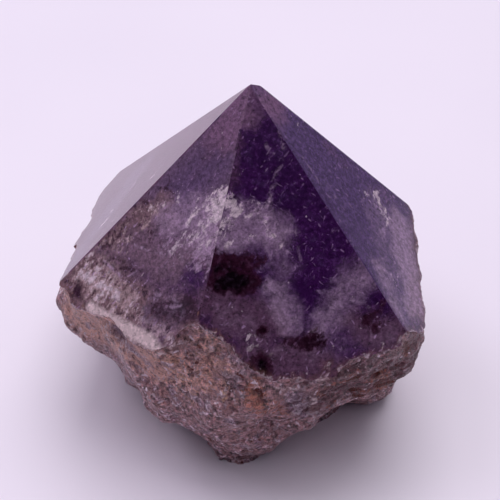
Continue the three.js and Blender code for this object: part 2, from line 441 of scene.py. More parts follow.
    # How proud of its surroundings a spot stands, for the skin's material
    around = add_node(
        tree, "GeometryNodeBlurAttribute", {"Value": relief, "Iterations": PROUD_STEPS}, data_type="FLOAT")
    proud = add_node(tree, MATH, [relief, around], operation="SUBTRACT")
    proud = add_node(tree, MATH, [proud, 1 / MM], operation="MULTIPLY")
    stored = add_node(
        tree, "GeometryNodeStoreNamedAttribute", {"Geometry": softened, "Name": "proud", "Value": proud},
        data_type="FLOAT", domain="POINT")
    raised = add_node(tree, "GeometryNodeSetPosition", {"Geometry": stored, "Offset": offset})
    realized = add_node(tree, "GeometryNodeRealizeInstances", {"Geometry": raised})
    finished = add_node(tree, "GeometryNodeSetMaterial", {"Geometry": realized, "Material": material})
    add_node(tree, "NodeGroupOutput", {"Geometry": finished})
    return tree


def evaluated_mesh(thing):
    """The mesh that an object's modifiers leave."""
    bpy.context.view_layer.update()
    return bpy.data.meshes.new_from_object(thing.evaluated_get(bpy.context.evaluated_depsgraph_get()))


def ground_crystal(faces, settings, skin_material, ground_materials):
    """The crystal's mesh: a copy of the solid, remeshed finely, given its rough skin and then ground."""
    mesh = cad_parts[STONE].data.copy()
    mesh.materials.clear()
    merged = bmesh.new()
    merged.from_mesh(mesh)
    bmesh.ops.remove_doubles(merged, verts=merged.verts[:], dist=WELD_DISTANCE)
    merged.to_mesh(mesh)
    merged.free()
    blank = bpy.data.objects.new("blank", mesh)
    block = grinding_block(faces, settings.edge_break, ground_materials)
    bpy.context.collection.objects.link(blank)
    bpy.context.collection.objects.link(block)
    remesh = blank.modifiers.new("Fine Mesh", "REMESH")
    remesh.mode = "VOXEL"
    remesh.voxel_size = settings.skin_cell
    skin = blank.modifiers.new("Rough Skin", "NODES")
    skin.node_group = rough_skin_tree(faces, skin_material)
    for item in skin.node_group.interface.items_tree:
        if item.socket_type == "NodeSocketFloat":
            skin[item.identifier] = getattr(settings, item.name.lower().replace(" ", "_"))
    grinding = blank.modifiers.new("Grinding", "BOOLEAN")
    grinding.operation = "INTERSECT"
    grinding.solver = "MANIFOLD"
    grinding.material_mode = "TRANSFER"
    grinding.object = block
    result = evaluated_mesh(blank)
    for thing in (blank, block):
        bpy.data.meshes.remove(thing.data)
    mark_faces(result, faces)
    return result


# Materials

QUARTZ_IOR = 1.544
# Ways in which streaks run on the ground faces, and on the skin
FEATHERED = (0.6, 0.35, 0.7)
CROSSED = (-0.7, 0.1, 0.7)
DOWNHILL = (0.75, -0.6, -0.1)
UPRIGHT = (-0.45, 0.25, 0.85)
LEVEL = (0.8, -0.2, 0.4)
CLOUD_RANGE = {"From Min": 0.28, "From Max": 0.72}  # noise that makes the thin and the dense parts of a cloud


def new_material(name):
    """An empty node material."""
    material = bpy.data.materials.new(name)
    material.use_nodes = True
    material.node_tree.nodes.clear()
    return material


def mark_group():
    """A node group that has its strength on the line between two points and falls to 0 at its reach from
    that line."""
    tree = bpy.data.node_groups.new("Placed Mark", "ShaderNodeTree")
    for name in ("Place", "From", "To"):
        add_socket(tree, name, "NodeSocketVector")
    for name in ("Reach", "Strength"):
        add_socket(tree, name, "NodeSocketFloat")
    add_socket(tree, "Amount", "NodeSocketFloat", "OUTPUT")
    given = add_node(tree, "NodeGroupInput").outputs
    line = add_node(tree, VECTOR_MATH, [given["To"], given["From"]], operation="SUBTRACT")
    offset = add_node(tree, VECTOR_MATH, [given["Place"], given["From"]], operation="SUBTRACT")
    along = add_node(tree, VECTOR_MATH, [offset, line], operation="DOT_PRODUCT")
    whole = add_node(tree, VECTOR_MATH, [line, line], operation="DOT_PRODUCT")
    way = add_node(tree, MATH, [along, whole], operation="DIVIDE")
    way = add_node(tree, MATH, [way, 0], operation="MAXIMUM")
    way = add_node(tree, MATH, [way, 1], operation="MINIMUM")
    nearest = add_node(tree, VECTOR_MATH, {0: line, "Scale": way}, operation="SCALE")
    away = add_node(tree, VECTOR_MATH, [offset, nearest], operation="DISTANCE")
    away = add_node(tree, MATH, [away, given["Reach"]], operation="DIVIDE")
    near = add_node(tree, MAP_RANGE, {"Value": away, "From Min": 1, "From Max": 0}, **SMOOTH)
    amount = add_node(tree, MATH, [near, given["Strength"]], operation="MULTIPLY")
    add_node(tree, "NodeGroupOutput", {"Amount": amount})
    return tree


def spread(tree, place, marks):
    """The strongest of several placed marks."""
    group = bpy.data.node_groups.get("Placed Mark") or mark_group()
    strongest = None
    for face, lines in marks.items():
        shift = facet_shift(face)
        for *ends, reach, strength in lines:
            ends = {"From": Vector(ends[:3]) + shift, "To": Vector(ends[-3:]) + shift}
            mark = add_node(
                tree, "ShaderNodeGroup", {"Place": place, **ends, "Reach": reach, "Strength": strength},
                node_tree=group)
            strongest = add_node(tree, MATH, [strongest, mark], operation="MAXIMUM") if strongest else mark
    return strongest


def wandering(tree, place, size, amount):
    """The place moved about by noise of one size, so that what it carries loses its plain outline; in mm."""
    noise = add_node(tree, NOISE, {"Vector": place, "Scale": 1 / size, "Detail": 2}).outputs["Color"]
    centred = add_node(tree, VECTOR_MATH, [noise, (0.5, 0.5, 0.5)], operation="SUBTRACT")
    moved = add_node(tree, VECTOR_MATH, [centred, (2 * amount,) * 3, place], operation="MULTIPLY_ADD")
    return moved.outputs["Vector"]


def stretched(tree, place, direction, factor):
    """The place squeezed along a direction, so that a pattern is drawn out into streaks along it."""
    direction = Vector(direction).normalized()
    along = add_node(tree, VECTOR_MATH, [place, direction], operation="DOT_PRODUCT")
    taken = add_node(tree, MATH, [along, 1 / factor - 1], operation="MULTIPLY")
    change = add_node(tree, VECTOR_MATH, {0: direction, "Scale": taken}, operation="SCALE")
    return add_node(tree, VECTOR_MATH, [place, change], operation="ADD").outputs["Vector"]


def cloud(tree, place, size, detail=5, roughness=0.62):
    """A cloud pattern whose billows have one size, in the place's unit, stretched to go from about 0 to 1."""
    noise = add_node(
        tree, NOISE, {"Vector": place, "Scale": 1 / size, "Detail": detail, "Roughness": roughness})
    return add_node(tree, MAP_RANGE, {"Value": noise, **CLOUD_RANGE}, clamp=False)


def broken(tree, amount, pattern, ragged, dense):
    """Placed marks broken up by a pattern: dense at their middle, stray bits at their rim."""
    shift = add_node(tree, MATH, [pattern, ragged, -ragged / 2], operation="MULTIPLY_ADD")
    total = add_node(tree, MATH, [amount, shift], operation="ADD")
    return add_node(tree, MAP_RANGE, {"Value": total, "From Min": ragged / 2, "From Max": dense}, **SMOOTH)


def strokes(tree, place, size, width, rare):
    """Short curved strokes, where a cloud of one size crosses its middle value and a finer one is high. The
    rarer, the fewer of them show."""
    finer = cloud(tree, place, size * 0.8, detail=2)
    parts = add_node(tree, MAP_RANGE, {"Value": finer, "From Min": rare, "From Max": rare + 0.3}, **SMOOTH)
    off = add_node(tree, MATH, [cloud(tree, place, size, detail=1), 0.5], operation="SUBTRACT")
    off = add_node(tree, MATH, [off], operation="ABSOLUTE")
    lines = add_node(tree, MAP_RANGE, {"Value": off, "From Min": width, "From Max": 0}, **SMOOTH)
    return add_node(tree, MATH, [lines, parts], operation="MULTIPLY")


def specks(tree, place, spacing, chance, radius):
    """Round specks of one radius in mm, faded over their outer half, in a share of cells of one spacing."""
    cells = add_node(tree, CELLS, {"Vector": place, "Scale": 1 / spacing}).outputs
    pick = add_node(tree, "ShaderNodeSeparateXYZ", [cells["Color"]]).outputs["X"]
    chosen = add_node(
        tree, MAP_RANGE, {"Value": pick, "From Min": chance, "From Max": chance * 0.9}, **SMOOTH)
    rim = radius / spacing
    near = add_node(
        tree, MAP_RANGE, {"Value": cells["Distance"], "From Min": rim, "From Max": 0.5 * rim}, **SMOOTH)
    return add_node(tree, MATH, [chosen, near], operation="MULTIPLY")


def lay(tree, colour, over, amount, strength=1, levels=None, within=None):
    """Lays a colour over another by an amount. Levels are the two values of the amount between which the
    colour comes in, and another amount may hold it within its own bounds."""
    if levels:
        amount = add_node(
            tree, MAP_RANGE, {"Value": amount, "From Min": levels[0], "From Max": levels[1]}, **SMOOTH)
    if within:
        amount = add_node(tree, MATH, [amount, within], operation="MULTIPLY")
    if strength != 1:
        amount = add_node(tree, MATH, [amount, strength], operation="MULTIPLY")
    return add_node(tree, MIX, {"Factor": amount, "A": colour, "B": over}, data_type="RGBA")


def scatter(tree, colour, place, pattern, layers):
    """Lays colours one over another where their placed marks are, broken up by a pattern. Each layer is its
    marks, its colour, how ragged and how dense the marks are, and its strength."""
    for marks, over, ragged, dense, strength in layers:
        amount = broken(tree, spread(tree, place, marks), pattern, ragged, dense)
        colour = lay(tree, colour, over, amount, strength)
    return colour


# What shows just behind the ground faces, by face. A mark is a point, or the two ends of a line, then its
# reach and its strength; in mm. It fades from there to its reach, and a strength above 1 widens its core.
WHOLE = 150  # reach over a whole face
SMOKY = {
    "front_left": [(-17, -13, 50, WHOLE, 4)],
    "back_left": [(-7, 20, 48, WHOLE, 4)],
}
ROSY = {
    "left": [(-22, 2, 48, WHOLE, 4)],
}
SLATY = {
    "front_left": [(-6, -7, 64, -13, -9, 57, 13, 0.75)],
    "right": [(20, -4, 52, WHOLE, 4)],
    "back_right": [(15, 14, 50, WHOLE, 4)],
}
DUSKY = {
    "front_left": [
        (-3, -6, 68, -8, -6, 63, 12, 0.5), (-1, -12, 62, -12, -20, 49, 7, 0.4),
        (-6.3, -21, 52, -9, -25.8, 46.3, 6, 1),
    ],
    "front_right": [
        (-1, -33, 36, 20, -28, 34, 10, 1.2), (-7, -25, 46, 3, -28, 41, 10, 1.1),
        (-3, -7, 67, -3, -12, 60, 4, 0.6), (20, -25, 38, 25, -24, 37, 9, 1),
    ],
    "right": [(34, 3, 38, 33, -18, 35, 7, 1)],
}
WARM = {
    "front_right": [(0, 0, 75, 0.5, -3, 71.5, 7.5, 0.75)],
    "front_left": [(0, 0, 75, -3, -4, 69, 12, 1.1)],
    "right": [(0, 0, 75, 4, -1, 69, 10, 0.8), (12, 2, 60, 30, 3, 41, 6, 0.4)],
    "left": [(-36, -5, 36, -24, 14, 44, 10, 1)],
}
UMBER = {
    "front_left": [
        (-34, -11, 38.5, -22, -21, 39, 11, 1.2), (-28, -8, 45, -16, -8, 54.5, 6, 0.9),
        (-18.8, -10.5, 50.7, -14, -12, 53, 6, 0.6), (-22, -21, 39.5, -12, -27, 42, 8, 0.6),
    ],
}
DEEP = {
    "front_left": [
        (-14, -10, 54, -20, -15, 46, 10, 0.5), (-20, -18, 43.5, -11, -22, 48, 9, 0.7),
        (-22, -13, 46, 6, 0.5),
    ],
    "front_right": [(14, -27, 38, 20, -28, 35, 6, 0.9)],
    "left": [(-4, -3, 72, -32, -12, 40, 6, 1.2)],
    "right": [(13, -9, 58, 25, -20, 42, 6, 0.5)],
}
HAZY = {
    "front_right": [
        (-3, -16, 57, 3.6, -16.6, 54, 8.4, 0.85), (0, -18.6, 52.8, 6, -20.2, 48.8, 7.5, 0.5),
        (-5.6, -18, 54, -1, -17.6, 54.4, 4.8, 1), (4.6, -23, 45.6, 7, -26.2, 41, 7, 0.85),
        (22, -17.5, 46, 13, -26, 39.5, 7.5, 0.75), (-5, -26, 45, 2, -29, 39.5, 8, 0.36),
        (5, -30, 37, 25, -25, 36, 8, 0.4),
    ],
    "front_left": [
        (-8, -13.5, 57, -15, -11.5, 53.8, 8, 0.85), (-8, -17, 54, -16, -17, 48.6, 8, 0.45),
        (-16, -8, 55, -24, -9, 47, 8, 0.3),
    ],
    "right": [
        (25, -3, 46.5, 28, -14, 40, 11, 0.5), (30, -1, 42, 31.5, -16, 36, 8, 1.1),
        (24, -15, 44, 28, -22, 38.5, 7, 0.7),
    ],
}
MILKY = {
    "front_right": [
        (-3, -14.4, 58.4, 1, -14.6, 57, 5, 1.1), (1, -14.6, 57, 3.9, -16.2, 54.1, 4.6, 1.1),
        (-2.5, -16.6, 55.6, 6, -16.4, 53.4, 6, 0.8), (4.6, -22.9, 46, 7.4, -25.2, 41.8, 5.5, 0.8),
        (16, -22.5, 42.8, 21, -18.5, 46, 6, 0.8), (2, -29, 39.5, 5, 0.5),
        (-5.4, -17.4, 54.8, -4, -18.4, 53.8, 3.6, 1),
    ],
    "front_left": [(-6, -15.5, 57, -8.5, -19, 52.5, 9, 1.5), (-15, -14.5, 51, -8, -16, 55, 7, 0.95)],
    "right": [(25, -2, 46.5, 28, -12, 41, 7, 0.6)],
    "left": [(-27, 4, 44, 14, 0.4)],
}
PEARLY = {
    "front_left": [
        (-26, -11, 44, -30, -13, 38.5, 12, 1.1), (-32, -12, 38.5, -24, -19, 39.5, 10, 1.6),
        (-25, -10, 46, -18, -9, 53, 7, 1), (-23, -20, 39.4, -15, -28, 39.5, 8, 1.1),
    ],
}
VEILED = {
    "front_left": [
        (-5.1, -13.7, 59.5, -6.3, -14.9, 57.6, 5.4, 1.9), (-6.3, -14.9, 57.6, -5.8, -18.6, 54.8, 4, 1.15),
        (-8, -18.4, 53.2, -5.6, -19.2, 54.4, 3.2, 1.3), (-11, -12.9, 55.3, -6.6, -13.6, 58.4, 5, 1.05),
        (-12.9, -16.2, 50.9, -8, -16.2, 55, 6, 1.15), (-25.6, -10, 45.6, -22.4, -9.6, 48.2, 3.6, 0.9),
        (-19.5, -7.8, 52.4, -14, -9.5, 56, 5, 0.8), (-32, -11, 39, -27, -17, 38.6, 9, 1.25),
        (-26, -19, 38.2, -18.5, -23.5, 40, 6, 1), (-22, -17, 43, -28, -11, 43, 5, 0.8),
        (-13.7, -29, 39.2, 3, 1), (-20, -22.5, 40, -12, -26, 42.6, 6, 0.7),
    ],
    "front_right": [
        (-4.8, -13.4, 59.6, -2.6, -15, 58, 4.4, 1.5), (-5.4, -15.4, 57, -4.4, -18.4, 54.4, 3.6, 1.3),
        (0.6, -13.6, 58.2, 2.4, -16, 55, 3, 1), (-1, -17.2, 54.5, 2, -17.4, 53.6, 2, 0.95),
        (2, -15.8, 55, 4.4, -17, 53.2, 3, 0.85), (-0.9, -9.8, 63.5, 3, 0.6),
        (4, -6, 67, 5, -9, 63, 4, 0.28), (11.5, -26.5, 39.2, 17.2, -28.4, 35, 2.4, 0.8),
        (-0.4, -29.4, 39.6, 2.4, -30.8, 37.2, 4.6, 1), (22, -23, 40.5, 25, -26, 36, 5, 0.65),
        (3, -33.4, 33.2, 13, -31, 32.6, 2.6, 0.7),
    ],
    "right": [
        (24.4, 1.2, 48.6, 27.2, -2.7, 44.6, 3.8, 1.3), (22, -2.5, 50, 24.6, 1, 48.4, 2.8, 1),
        (28, -15, 41, 5, 0.75), (8, 0, 67, 11, 1, 64, 3, 0.7),
    ],
    "left": [(-14, 4, 58, -33, -7.6, 39, 1.4, 1.2), (-22, 10.5, 46.5, -34, -3, 37, 3, 0.8)],
}
MAROON = {
    "front_right": [
        (-5.6, -20.8, 51.8, -0.6, -20.6, 50.6, 4.8, 1.4), (-5, -22.8, 49, -0.4, -22.6, 48, 5.4, 1.6),
        (-6, -25.5, 46, -4, -27, 44, 5, 0.6), (7.8, -28.4, 38, 12, -27.8, 37.6, 5, 1.05),
        (1.6, -31.9, 35.9, 6, 1.2), (1.6, -28.2, 40.4, 2.6, 1.3), (22, -24, 39, 23.4, -24.6, 38, 3.4, 1),
        (24, -21.5, 41, 23, -23, 39.6, 3, 0.9),
    ],
    "front_left": [
        (-18, -23.4, 41.4, -10.6, -26.4, 43.8, 6.2, 1.1), (-33.4, -13.3, 36.2, 4, 1.1),
        (-23, -18.1, 40.9, 5, 0.6), (-27, -11, 43.4, -23, -15, 43.4, 5, 0.7),
    ],
    "left": [(-20.4, 9.6, 48.8, -23.6, 7, 46.2, 1.2, 1.2)],
}
HOLLOWS = {
    "front_right": [
        (-5, -21.6, 50.8, -2, -21.4, 50.2, 4.2, 0.85), (-1, -23, 48, -4.8, -23.2, 48.4, 4, 1.25),
        (9.8, -28.4, 37.6, 12.4, -27.8, 37.4, 3.3, 0.78), (1.6, -31.9, 35.9, 2.8, 1.3),
        (1.6, -28.2, 40.4, 1.6, 0.9),
    ],
    "front_left": [(-6, -23.4, 50, 3, 0.8), (-13, -24.8, 43.4, -10.6, -26, 44.4, 3.6, 0.75)],
}
BLUSHING = {
    "front_left": [
        (-30.8, -17, 35.4, -25.2, -22, 35.9, 2, 1.3), (-25.2, -22, 35.9, -18.5, -27.2, 37, 2.4, 1.6),
        (-18.5, -27.2, 37, -14.4, -30, 35.4, 2.3, 1.5),
    ],
}
EARTHY = {
    "front_left": [
        (-9.6, -25.4, 44.2, -6, -28.4, 41.6, 3, 0.8), (-34.5, -14, 34.6, -29, -19, 34.4, 3, 0.7),
    ],
    "front_right": [(-8.6, -26.4, 43.4, -4, -29.8, 39.8, 2.6, 0.8)],
}
CRACKS = {
    "front_right": [
        (5.7, -7.6, 63.9, 4.2, -10.6, 61, 0.7, 0.8), (4.2, -10.6, 61, 3.2, -13.3, 57.8, 0.9, 0.8),
        (5.2, -4.5, 67.8, 6.1, -6.2, 65.5, 0.6, 0.8), (2.5, -5.9, 67, 3.7, -7.4, 64.8, 0.6, 0.6),
        (8.6, -17, 51.2, 9.2, -18.4, 49.3, 0.6, 0.7), (7, -13, 56.4, 8.4, -15, 53.6, 0.5, 0.6),
        (16.8, -13, 53, 15, -14.4, 52.6, 0.5, 0.6), (18.6, -21.8, 42.4, 22, -22, 40.6, 0.6, 0.8),
    ],
    "front_left": [
        (-6, -9, 63, -12.5, -12, 56, 0.5, 0.5), (-18.8, -21.4, 41.9, -15.4, -22.8, 43.2, 0.9, 0.9),
        (-17.4, -21, 43, -13, -23.8, 44.2, 0.9, 0.8), (-15.8, -23.6, 42.4, -12.6, -24.8, 43.8, 0.8, 0.8),
        (-13.7, -29, 39.2, -12.8, -28.4, 40.2, 1.6, 1), (-21, -21.6, 40.6, -12, -26.6, 42, 5, 0.25),
        (-19, -24, 39.6, -14, -28, 40.4, 4, 0.4), (-21.8, -12, 47, -18.3, -14.7, 47.7, 0.5, 0.9),
        (-18.3, -14.7, 47.7, -15.7, -16.2, 48.6, 0.5, 0.8),
        (-28.1, -11.5, 42.1, -24.1, -15.7, 42, 0.6, 0.9), (-24.1, -15.7, 42, -20.2, -19.9, 41.8, 0.6, 0.8),
        (-24.5, -15.9, 41.5, -21.3, -16.2, 44, 0.6, 0.8),
    ],
    "right": [
        (24.4, -15, 43.5, 27, -14.4, 41.6, 0.6, 0.8), (9.5, -5.6, 63, 15, -9.5, 56.4, 0.5, 0.5),
        (14, -7, 58.4, 16, -8, 55.6, 0.6, 0.6),
    ],
    "left": [(-20.5, 10.6, 48.4, -24.5, 7, 45, 0.7, 1.2)],
}


def polished_amethyst(colours):
    """Amethyst ground and polished to a soft gloss: clear violet quartz that light goes into, with milky
    clouds, white healed fractures and dark hollows seen just behind the surface."""
    material = new_material("polished amethyst")
    tree = material.node_tree
    here = add_node(tree, "ShaderNodeTexCoord").outputs["Object"]
    shift = add_node(tree, "ShaderNodeAttribute", attribute_name="facet_shift").outputs["Vector"]
    inset = add_node(tree, "ShaderNodeAttribute", attribute_name="inset").outputs["Fac"]
    place = add_node(tree, VECTOR_MATH, [here, (1 / MM,) * 3, shift], operation="MULTIPLY_ADD")
    swept = wandering(tree, place, size=6, amount=2)
    drifting = wandering(tree, swept, size=1.8, amount=1)
    ragged = wandering(tree, place, size=1.2, amount=0.3)
    streaked = stretched(tree, ragged, FEATHERED, 1.8)
    leaning = stretched(tree, ragged, CROSSED, 2.2)

    # Clear violet quartz, darker and lighter by patches; smoky and rosy on the left, slate on the right
    umber = spread(tree, drifting, UMBER)
    flecks = cloud(tree, leaning, 1.6, detail=4, roughness=0.75)
    slow = cloud(tree, drifting, 7, detail=4)
    billows = cloud(tree, drifting, 2.4)
    wisps = cloud(tree, streaked, 1.4, detail=4, roughness=0.75)
    colour = lay(tree, colours.violet, colours.night, slow, 0.55, levels=(0.6, 0.1))
    colour = lay(tree, colour, colours.slate, billows, 0.3, levels=(0.5, 1))
    for marks, over in ((SMOKY, colours.smoke), (ROSY, colours.rose), (SLATY, colours.slate)):
        colour = lay(tree, colour, over, spread(tree, place, marks))
    colour = scatter(tree, colour, drifting, slow, (
        (DUSKY, colours.dusk, 0.6, 1, 1),
        (WARM, colours.warm, 0.6, 1, 1),
        (DEEP, colours.violet, 0.7, 1, 1),
    ))
    colour = lay(tree, colour, colours.umber, broken(tree, umber, slow, ragged=0.6, dense=1))
    reached = add_node(tree, MAP_RANGE, {"Value": umber, "From Max": 0.5}, **SMOOTH)
    colour = lay(tree, colour, colours.maroon, flecks, 0.8, levels=(0.5, 0.2), within=reached)

    # Haze, mottled milk and healed fractures: white wisps that thin out to short strokes
    haze = spread(tree, drifting, HAZY)
    colour = lay(tree, colour, colours.milk, broken(tree, haze, slow, ragged=0.4, dense=0.9), 0.42)
    colour = lay(tree, colour, colours.milk, broken(tree, haze, billows, ragged=0.9, dense=1.05), 0.4)
    colour = scatter(tree, colour, drifting, wisps, (
        (MILKY, colours.milk, 1.5, 1.4, 0.8),
        (PEARLY, colours.pearl, 1.8, 1.5, 0.85),
    ))
    veils = spread(tree, drifting, VEILED)
    colour = lay(tree, colour, colours.veil, broken(tree, veils, wisps, ragged=2, dense=1.6), 0.95)
    lines = strokes(tree, swept, 2.6, width=0.05, rare=0.65)
    for direction, factor, spacing in ((FEATHERED, 5, 0.9), (CROSSED, 4, 1)):
        drawn_out = specks(tree, stretched(tree, swept, direction, factor), spacing, chance=0.5, radius=0.2)
        lines = add_node(tree, MATH, [lines, drawn_out], operation="MAXIMUM")
    reached = add_node(tree, MAP_RANGE, {"Value": veils, "From Max": 0.5}, **SMOOTH)
    colour = lay(tree, colour, colours.milk, lines, 0.8, within=reached)
    reached = add_node(tree, MAP_RANGE, {"Value": slow, "From Max": 0.7}, **SMOOTH)
    colour = lay(tree, colour, colours.lilac, lines, 0.7, within=reached)
    colour = scatter(tree, colour, drifting, wisps, (
        (MAROON, colours.maroon, 0.9, 1.05, 1),
        (HOLLOWS, colours.hollow, 0.8, 1.15, 1),
        (EARTHY, colours.earth, 1.4, 1.1, 1),
    ))
    colour = lay(tree, colour, colours.milk, wisps, levels=(0.3, 0.8), within=spread(tree, ragged, CRACKS))
    colour = lay(tree, colour, colours.veil, specks(tree, ragged, 1.7, chance=0.12, radius=0.2), 0.5)

    # The rim is bruised where a ground face runs out into the skin
    rim = add_node(tree, MATH, [wisps, -2, inset], operation="MULTIPLY_ADD")
    blushing = spread(tree, ragged, BLUSHING)
    colour = lay(tree, colour, colours.earth, rim, 0.35, levels=(0.4, -0.9))
    colour = lay(tree, colour, colours.veil, rim, 0.55, levels=(-0.7, -1.4))
    colour = lay(tree, colour, colours.blush, blushing, levels=(0, 1.2))
    grain = cloud(tree, ragged, 0.8, detail=3, roughness=0.8)
    colour = lay(tree, colour, colours.lilac, grain, 0.07, levels=(0.5, 1))
    depth = add_node(tree, MAP_RANGE, {"Value": grain, "To Min": 0.4, "To Max": 1.6})
    colour = add_node(
        tree, MIX, {"Factor": 1, "A": colour, "B": depth}, data_type="RGBA", blend_type="MULTIPLY")
    colour = lay(tree, colour, colours.blush, broken(tree, blushing, wisps, ragged=2.2, dense=1.8))

    haziness = cloud(tree, place, 2, detail=4)
    gloss = add_node(tree, MAP_RANGE, {"Value": haziness, "To Min": 0.07, "To Max": 0.17})
    height = cloud(tree, place, 1.2, detail=3)
    bump = add_node(tree, "ShaderNodeBump", {"Strength": 0.05, "Distance": 0.05 * MM, "Height": height})
    shader = add_node(tree, "ShaderNodeBsdfPrincipled", {
        "Base Color": colour, "Roughness": gloss, "Normal": bump, "IOR": QUARTZ_IOR,
        "Transmission Weight": 0.4,
    })
    # Violet quartz takes out yellow and green over a few centimetres
    inside = add_node(tree, "ShaderNodeVolumeAbsorption", {"Color": linear("9a5ce0"), "Density": 16})
    add_node(tree, "ShaderNodeOutputMaterial", {"Surface": shader, "Volume": inside})
    return material


# What shows on the rough skin, in the same form
BRUISES = {
    "skin": [
        (-31.4, -16.6, 34, -25.6, -21.4, 34.4, 1.6, 1.4), (-18.4, -27.6, 36.4, -16, -29, 36, 1.6, 1),
        (-35, -11, 37, -31, -17, 35, 2.6, 0.8), (5.5, -32.8, 30.2, 9.5, -32.4, 29, 2, 0.9),
        (11.8, -30.4, 24, 12.4, -30.2, 21.5, 1.3, 1.2), (-13.7, -29.2, 39, -14.6, -29.8, 37.6, 2.8, 0.9),
        (20, -29, 30.5, 27, -25, 31, 1.9, 0.7), (12, -31, 31, 18, -30, 29, 1.8, 0.8),
    ],
}
FILMY = {
    "skin": [
        (-34, -13, 30, -15, -28, 31, 11, 1.5), (-8, -31, 38, -8, -31, 32, 9, 0.85),
        (-5, -31, 14, 0, -32, 20, 11, 0.4), (-18, -27, 22, -12, -30, 24, 7, 0.5),
    ],
}
FOLDS = {
    "skin": [
        (-15.1, -29.2, 36.1, -13, -29.5, 33.7, 0.9, 1.1), (-13, -29.5, 33.7, -10.8, -29.9, 31.9, 0.9, 1.1),
        (-0.8, -32.4, 16.9, 2.3, -31, 15.6, 1.1, 1.3), (2.3, -31, 15.6, 9.2, -31.5, 20, 1.1, 1.2),
        (-9.9, -29.4, 11, -7.7, -29.1, 8.5, 1.2, 1.2), (13.7, -30, 23.7, 19.2, -27.4, 24.4, 1.1, 1.3),
        (19.2, -27.4, 24.4, 22.2, -26.4, 24, 1.2, 1.3), (23.1, -27.2, 28, 29.4, -22.6, 24.6, 1, 1.1),
        (-8.3, -32.4, 27, -4.1, -33.8, 27.2, 0.9, 0.9), (-2.6, -32.7, 34.6, -0.8, -33, 32.8, 0.9, 1),
    ],
}
# White strokes painted on the skin as glints
GLINTS = {
    "skin": [
        (2.6, -33.8, 27.6, 3.4, -33.8, 25.4, 1.1, 1.1), (-4.6, -32.4, 29, -2.6, -32, 35, 2.2, 0.75),
        (11.9, -30.6, 24.8, 12.6, -30.4, 26.2, 1.1, 1.2), (-0.8, -33.2, 32.6, 8.6, -32.4, 29.6, 1.6, 0.9),
        (16, -29, 29.2, 22, -27, 30.4, 1.4, 0.9), (-20.4, -26.6, 24, -12, -29.4, 20, 3.4, 0.7),
    ],
}
THREADED = {
    "skin": [
        (-13, -29, 28, -6, -32, 29, 7, 1), (-9, -30, 37, -6, -31.4, 35, 4, 0.9),
        (1, -33, 29, 4, -33.6, 24, 5, 0.8),
    ],
}
COOL = {
    "skin": [
        (-26, -20, 32, -21, -23.5, 31, 4.6, 1.1), (-24, -22, 26, -19, -25, 26, 4, 0.7),
        (8, -31, 25, 11, -31, 22, 7.5, 1.1), (-4, -32, 33, -3.4, -32, 37, 5.5, 0.8),
        (14, -28, 20, 26, -22, 22, 10, 0.7), (-20, -24, 18, -10, -28, 12, 8, 0.6),
    ],
}
# Darker patches on the skin, and painted shade over its right side, which faces away from the light
SHADE_AND_DARK_PATCHES = {
    "skin": [
        (-10, -30, 38, -4, -32.6, 33, 7, 0.7), (-3, -32.6, 26, 2, -33.6, 22, 8, 0.5),
        (19, -29, 30, 31, -21, 31, 8, 1.2), (17, -29, 25, 30, -20, 22, 12, 1.6),
        (24, -26, 28, 32, -18, 26, 10, 1.4), (34, -10, 28, 36, 4, 24, 12, 0.7),
        (10, -26, 12, 24, -18, 12, 12, 0.9), (-7, -31, 31, -5, -32, 29, 5, 0.6),
        (-12, -26, 10, 4, -28, 6, 8, 0.5),
    ],
}
STAINS = {
    "skin": [
        (0, -33.3, 31, 3, -33.8, 25, 6, 1.2), (4.4, -33.7, 27, 6, -33, 22, 5, 0.9),
        (12.7, -30.2, 25.5, 19, -28.5, 27, 3, 0.9), (15.6, -28.3, 19.8, 27, -22.5, 18.8, 3.5, 0.8),
        (29.6, -23, 32.4, 30, -22.6, 29, 2.2, 1.1), (24.6, -25.4, 25, 26.6, -23, 18.6, 4.5, 1.1),
        (18.7, -28.9, 28.4, 20.4, -28, 29.4, 2.3, 1), (12.7, -30.2, 25.5, 12.4, -30, 23, 1.6, 0.9),
        (-10, -30, 36, -6, -32, 33, 6, 0.5), (-12, -29, 27, -8, -31, 28, 6, 0.55),
        (8, -32, 17, 16, -28, 19, 3, 0.6),
    ],
}
SCORCHES = {
    "skin": [
        (-9.5, -29.6, 37.6, 1.8, 1.3), (1.4, -33.3, 30.6, 3, -33.6, 27.4, 1.8, 1.1),
        (18.2, -28.2, 27, 20.2, -27.4, 26.4, 1.9, 1.5), (24.6, -25.4, 24.9, 2.4, 1.5),
        (24.8, -23.8, 20.6, 28.2, -22, 19, 3.4, 1.45), (29.6, -23.6, 32, 30.2, -23, 29.4, 2.2, 1.6),
        (20.4, -24.8, 17.8, 22, -24.4, 17.4, 2.2, 1.4), (20.2, -25.6, 20.8, 21.4, -25, 20.2, 1.8, 1.4),
    ],
}
SMOOTHER = {
    "skin": [(-34, -12, 28, -18, -26, 31, 10, 1), (9.5, -31.5, 25, 12.5, -30.6, 22, 5, 0.9)],
}
CRUSTY = {
    "skin": [(-21, -22, 22, -12, -30, 15, 9, 1.1)],
}


